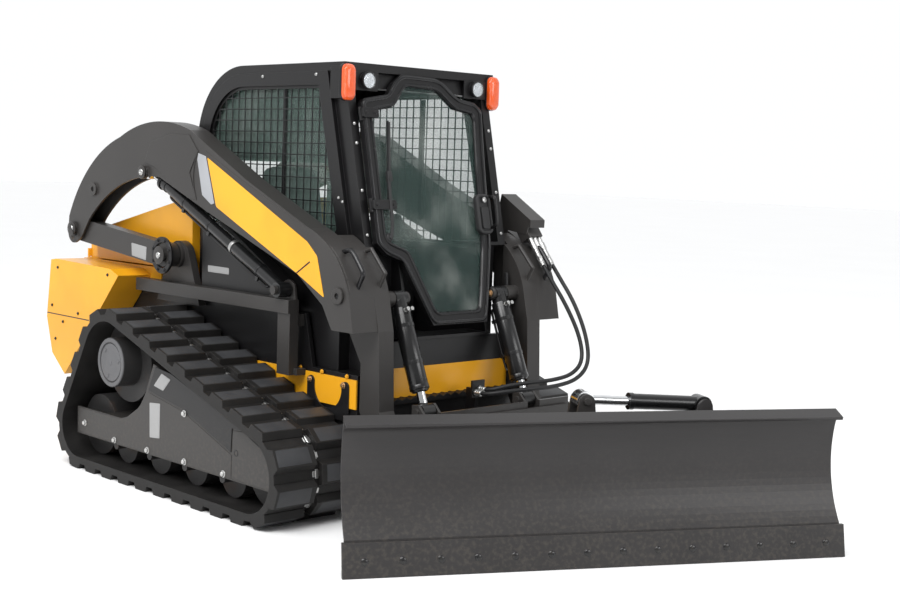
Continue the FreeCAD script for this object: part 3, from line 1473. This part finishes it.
for index, start in enumerate(hood_hinges):
    leaf_low = (start, S.cab_rear - 5, hood_hinge_z - S.hinge_radius)
    leaf_high = (start + S.hinge_leaf, hood_hinge_y, hood_hinge_z + S.hinge_radius)
    spot = (start, hood_hinge_y, hood_hinge_z)
    cab_parts += [
        box(f"hood_hinge_leaf_{index}", leaf_low, leaf_high),
        cylinder(f"hood_hinge_barrel_{index}", "x", spot, S.hinge_radius, S.hinge_leaf),
        cylinder(f"hood_hinge_pin_{index}", "x", spot, S.hinge_pin_radius, 2 * S.hinge_leaf + 2),
    ]
node("cab_frame", fuse("cab_frame", cab_parts))

roof_under = S.cab_roof_under + S.seat_gap
skin_back = S.cab_rear + S.seat_gap
roof_outline = [
    (S.roof_front, roof_under), (S.cab_roof_rear, roof_under, -corner - S.seat_gap),
    (skin_back, SHOULDER_Z), (skin_back + 34, SHOULDER_Z, corner + 34),
    (S.cab_roof_rear, ROOF_TOP), (S.roof_front, ROOF_TOP),
]
node("cab_roof", plate("cab_roof", "yz", -S.cab_half, 2 * S.cab_half, roof_outline))

lap = 12
glass_start = inner_half - S.seat_gap - S.glass_thickness
pair("side_glass", plate("side_glass_pane", "yz", glass_start, S.glass_thickness, side_window(lap)))
rear_pane = rounded((as_size(-352), as_size(1118)), (as_size(352), as_size(1572)), 60)
rear_start = S.cab_rear - S.cab_wall - S.seat_gap - S.glass_thickness
node("rear_glass", plate("rear_glass", "xz", rear_start, S.glass_thickness, rear_pane))


def outline_wire(outline, x):
    """An outline of straight and round edges as a wire at x."""
    points = [Vector(x, as_size(p[0]).value, as_size(p[1]).value) for p in outline]
    edges = []
    for index, spot in enumerate(outline):
        a, b = points[index], points[(index + 1) % len(points)]
        if len(spot) == 2:
            edges.append(Part.LineSegment(a, b).toShape())
            continue
        radius = as_size(spot[2]).value
        chord = b - a
        left = Vector(0, -chord.z, chord.y).normalize() * (1 if radius > 0 else -1)
        rise = math.sqrt(radius**2 - (chord.Length / 2) ** 2)
        middle = (a + b) * 0.5 - left * (abs(radius) - rise)
        edges.append(Part.Arc(a, middle, b).toShape())
    return Part.Wire(edges)


def screen():
    """A welded wire screen that fills the side window."""
    x = S.cab_half.value - 16
    wire, pitch = S.screen_wire.value, S.screen_pitch.value
    whole = Part.Face(outline_wire(side_window(-S.seat_gap), x))
    inside = Part.Face(outline_wire(side_window(-14), x))
    low, high = whole.BoundBox, whole.BoundBox
    squares = []
    across = int((high.YMax - low.YMin) / pitch) + 1
    upward = int((high.ZMax - low.ZMin) / pitch) + 1
    for column in range(across):
        for row in range(upward):
            y, z = low.YMin + column * pitch, low.ZMin + row * pitch
            corners = [
                Vector(x, y + wire, z + wire), Vector(x, y + pitch, z + wire),
                Vector(x, y + pitch, z + pitch), Vector(x, y + wire, z + pitch),
            ]
            squares.append(Part.Face(Part.makePolygon(corners + corners[:1])))
    openings = inside.common(Part.makeCompound(squares))
    return whole.cut(openings).extrude(Vector(wire, 0, 0))


screen_left = doc.addObject("Part::Feature", "side_screen")
screen_left.Shape = screen()
pair("side_screens", screen_left)

# ---------------------------------------------------------------------- door


def on_door(label, thing):
    """A sub-part drawn flat, then leaned back with the door."""
    thing.Placement = Placement(
        Vector(0, S.door_foot_y.value, S.door_foot_z.value),
        Rotation(Vector(1, 0, 0), -S.door_lean.value),
    )
    return node(label, thing)


thickness = S.door_thickness
door_outline = [
    (-122, 0), (220, 0), (256, 130), (306, 354), (329, 735), (351, 1010), (310, 1045), (200, 1062),
    (120, 1130), (67, 1150), (-141, 1154), (-196, 1110), (-235, 1056), (-380, 1030), (-397, 1010),
    (-400, 380), (-351, 330), (-262, 296),
]
glass_outline = [
    (-95, 52), (186, 52), (212, 145), (258, 360), (280, 735), (300, 968), (284, 998), (176, 1014),
    (96, 1082), (52, 1102), (-120, 1106), (-156, 1070), (-206, 1008), (-340, 984), (-349, 968),
    (-350, 410), (-326, 378), (-222, 338),
]
door = plate("door_leaf", "xz", -thickness, thickness, door_outline, [glass_outline])
hinge_parts = [door]
for index, hinge_w in enumerate((520, 930)):
    hinge_parts.append(
        cylinder(f"door_knuckle_{index}", "z", (S.door_hinge_x, -22, hinge_w), 9, 60)
    )
on_door("door_frame", fuse("door_frame", hinge_parts))
on_door("door_glass", plate("door_glass", "xz", -18, S.glass_thickness, glass_outline))
handle_outline = rounded((as_size(222), as_size(412)), (as_size(316), as_size(602)), 30)
handle = plate("door_handle_plate", "xz", -thickness - 18, 18 - S.seat_gap, handle_outline)
on_door("door_handle", handle)

# -------------------------------------------------------------- inside the cab

seat_low = S.cab_floor + 20
pedestal = box("seat_pedestal", (-230, -60, seat_low), (230, 330, seat_low + 230))
for_side = [pedestal]
for side in (1, -1):
    x_low = 250 if side > 0 else -400
    for_side.append(box(f"console_{side + 1}", (x_low, -180, seat_low), (x_low + 150, 330, seat_low + 420)))
    for_side.append(
        cylinder(f"lever_{side + 1}", "z", (side * 325, -120, seat_low + 420), 14, 170)
    )
    for_side.append(box(f"console_foot_{side + 1}", (min(side * 230, side * 250), 0, seat_low), (max(side * 230, side * 250), 330, seat_low + 60)))
node("seat_consoles", fuse("seat_consoles", for_side))
cushion = box("seat_cushion_block", (-225, -120, seat_low + 230.3), (225, 300, seat_low + 330))
backrest = box("seat_back_block", (-215, 250, seat_low + 330), (215, 350, seat_low + 860))
node("seat", fuse("seat", [cushion, backrest]))

# --------------------------------------------------------------------- lamps

lamp_inner = S.pillar_outer + S.seat_gap
lamp = box(
    "amber_lamp", (lamp_inner, S.roof_front - 10, S.cab_roof_under - 129),
    (S.cab_half + 4, S.roof_front + 60, S.cab_roof_under - 1),
)
pair("amber_lamps", lamp)
pod_low = S.cab_roof_under - 83
pod = box(
    "lamp_pod", (270, S.roof_front - 4, pod_low),
    (S.pillar_outer, raked(pod_low, S.door_gap) - S.seat_gap, S.cab_roof_under),
)
work = cylinder("work_lamp", "y", (340, S.roof_front - 22, pod_low + 44), 38, 24)
pair("work_lamps", fuse("work_lamp_unit", [pod, work]))

# ----------------------------------------------------------------- rear body

fender = [
    (S.cowl_front, S.cowl_top - 43), (S.cowl_rear - 199, S.bumper_bottom),
    (S.cowl_rear - 62, S.gate_bottom), (S.cowl_rear, 674), (S.cowl_rear - 44, S.cowl_top - 8),
    (S.cowl_rear - 100, S.cowl_top), (S.cowl_front + 80, S.cowl_top - 14),
]
wing = plate("cowl_wing", "yz", S.hull_half + 5, S.cowl_outer - S.hull_half - 5, fender)
cowl_side = [
    (S.tower_rear + 60, S.hull_side_top + 2), (S.hull_rear + 50, S.hull_side_top + 2),
    (S.cowl_rear - 55, S.cowl_top), (S.tower_rear + 60, S.cowl_top),
]
side_wall = plate("cowl_side", "yz", S.hull_half - S.hull_wall, S.hull_wall + 5, cowl_side)
tail_low = (S.gate_half + 6, S.hull_rear, S.bumper_bottom)
tail_wall = box("cowl_tail", tail_low, (S.hull_half + 5, S.cowl_rear - 55, S.cowl_top))
cowl_parts = []
for name, thing in (("wing", wing), ("side", side_wall), ("tail", tail_wall)):
    cowl_parts += [thing, mirrored(f"cowl_{name}_other", thing)]
bumper = box(
    "cowl_bumper", (-S.cowl_outer + 60, S.hull_rear, S.bumper_bottom),
    (S.cowl_outer - 60, S.cowl_rear - 62, S.gate_bottom - 6),
)
cowl_parts.append(bumper)
gate_hinge_x = -S.gate_half - 8
gate_hinge_y = S.cowl_rear + 10
gate_hinges = (S.gate_bottom + 70, S.gate_top - 170)
for index, level in enumerate(gate_hinges):
    spot = (gate_hinge_x, gate_hinge_y, level)
    cowl_parts += [
        box(
            f"gate_hinge_leaf_{index}", (gate_hinge_x - S.hinge_radius, S.cowl_rear - 70, level),
            (gate_hinge_x, gate_hinge_y, level + S.gate_knuckle),
        ),
        cylinder(f"gate_hinge_barrel_{index}", "z", spot, S.hinge_radius, S.gate_knuckle),
        cylinder(f"gate_hinge_pin_{index}", "z", spot, S.hinge_pin_radius, 2 * S.gate_knuckle + 2),
    ]
node("rear_cowl", fuse("rear_cowl", cowl_parts))

hood_skirt = S.cowl_top + S.moving_gap
hood_top = [
    (S.hood_front, hood_skirt), (S.hood_rear - 22, hood_skirt), (S.hood_rear, S.hood_rear_z - 20),
    (S.hood_rear - 30, S.hood_rear_z), (S.hood_front, S.hood_front_z),
]
hood_hollow = [
    (S.hood_front + 16, hood_skirt - 5), (S.hood_rear - 38, hood_skirt - 5),
    (S.hood_rear - 16, S.hood_rear_z - 34), (S.hood_rear - 44, S.hood_rear_z - 16),
    (S.hood_front + 16, S.hood_front_z - 24),
]
hood_body = plate("hood_body", "yz", -S.hood_half, 2 * S.hood_half, hood_top)
hood_inside = plate(
    "hood_inside", "yz", -S.hood_half + S.hood_wall, 2 * (S.hood_half - S.hood_wall), hood_hollow
)
hood_parts = [cut("hood_shell", hood_body, hood_inside)]
hood_bores = []
for index, start in enumerate(hood_hinges):
    leaf_x = start + S.hinge_leaf + 2
    spot = (leaf_x, hood_hinge_y, hood_hinge_z)
    hood_parts += [
        box(
            f"hood_knuckle_leaf_{index}", (leaf_x, hood_hinge_y, S.hood_front_z - 6),
            (leaf_x + S.hinge_leaf, S.hood_front + 14, hood_hinge_z),
        ),
        cylinder(f"hood_knuckle_{index}", "x", spot, S.hinge_radius, S.hinge_leaf),
    ]
    bore_radius = S.hinge_pin_radius + S.hinge_play
    hood_bores.append(cylinder(f"hood_bore_{index}", "x", spot, bore_radius, S.hinge_leaf))
node("hood", cut("hood", fuse("hood_whole", hood_parts), fuse("hood_bores", hood_bores)))

gate = box(
    "tailgate_panel", (-S.gate_half, S.hull_rear + 30, S.gate_bottom),
    (S.gate_half, S.cowl_rear, S.gate_top),
)
gate_hollow = box(
    "tailgate_hollow", (-S.gate_half + 30, S.hull_rear + 20, S.gate_bottom + 30),
    (S.gate_half - 30, S.cowl_rear - 40, S.gate_top - 30),
)
gate_parts = [cut("tailgate_shell", gate, gate_hollow)]
gate_bores = []
for index, level in enumerate(gate_hinges):
    knuckle_z = level + S.gate_knuckle + 2
    spot = (gate_hinge_x, gate_hinge_y, knuckle_z)
    gate_parts += [
        box(
            f"gate_leaf_{index}", (gate_hinge_x, S.cowl_rear - 3, knuckle_z),
            (-S.gate_half + 30, S.cowl_rear + 6, knuckle_z + S.gate_knuckle),
        ),
        cylinder(f"gate_knuckle_{index}", "z", spot, S.hinge_radius, S.gate_knuckle),
    ]
    bore_radius = S.hinge_pin_radius + S.hinge_play
    gate_bores.append(cylinder(f"gate_bore_{index}", "z", spot, bore_radius, S.gate_knuckle))
node("tailgate", cut("tailgate", fuse("gate_whole", gate_parts), fuse("gate_bores", gate_bores)))

# ------------------------------------------------------------------- outputs

doc.recompute()
faults = [f"{o.Name}: {o.State}" for o in doc.Objects if set(o.State) & {"Invalid", "Error"}]
for sub_part in nodes:
    if sub_part.Shape.isNull() or not sub_part.Shape.isValid():
        faults.append(f"{sub_part.Label}: no valid shape")
if faults:
    raise RuntimeError("; ".join(faults))

os.makedirs("parts", exist_ok=True)
for sub_part in nodes:
    sub_part.Shape.exportStep(os.path.join("parts", f"{sub_part.Label}.step"))
    print(f"{sub_part.Label}: {len(sub_part.Shape.Solids)} solids, {sub_part.Shape.Volume / 1e6:.2f} litres")
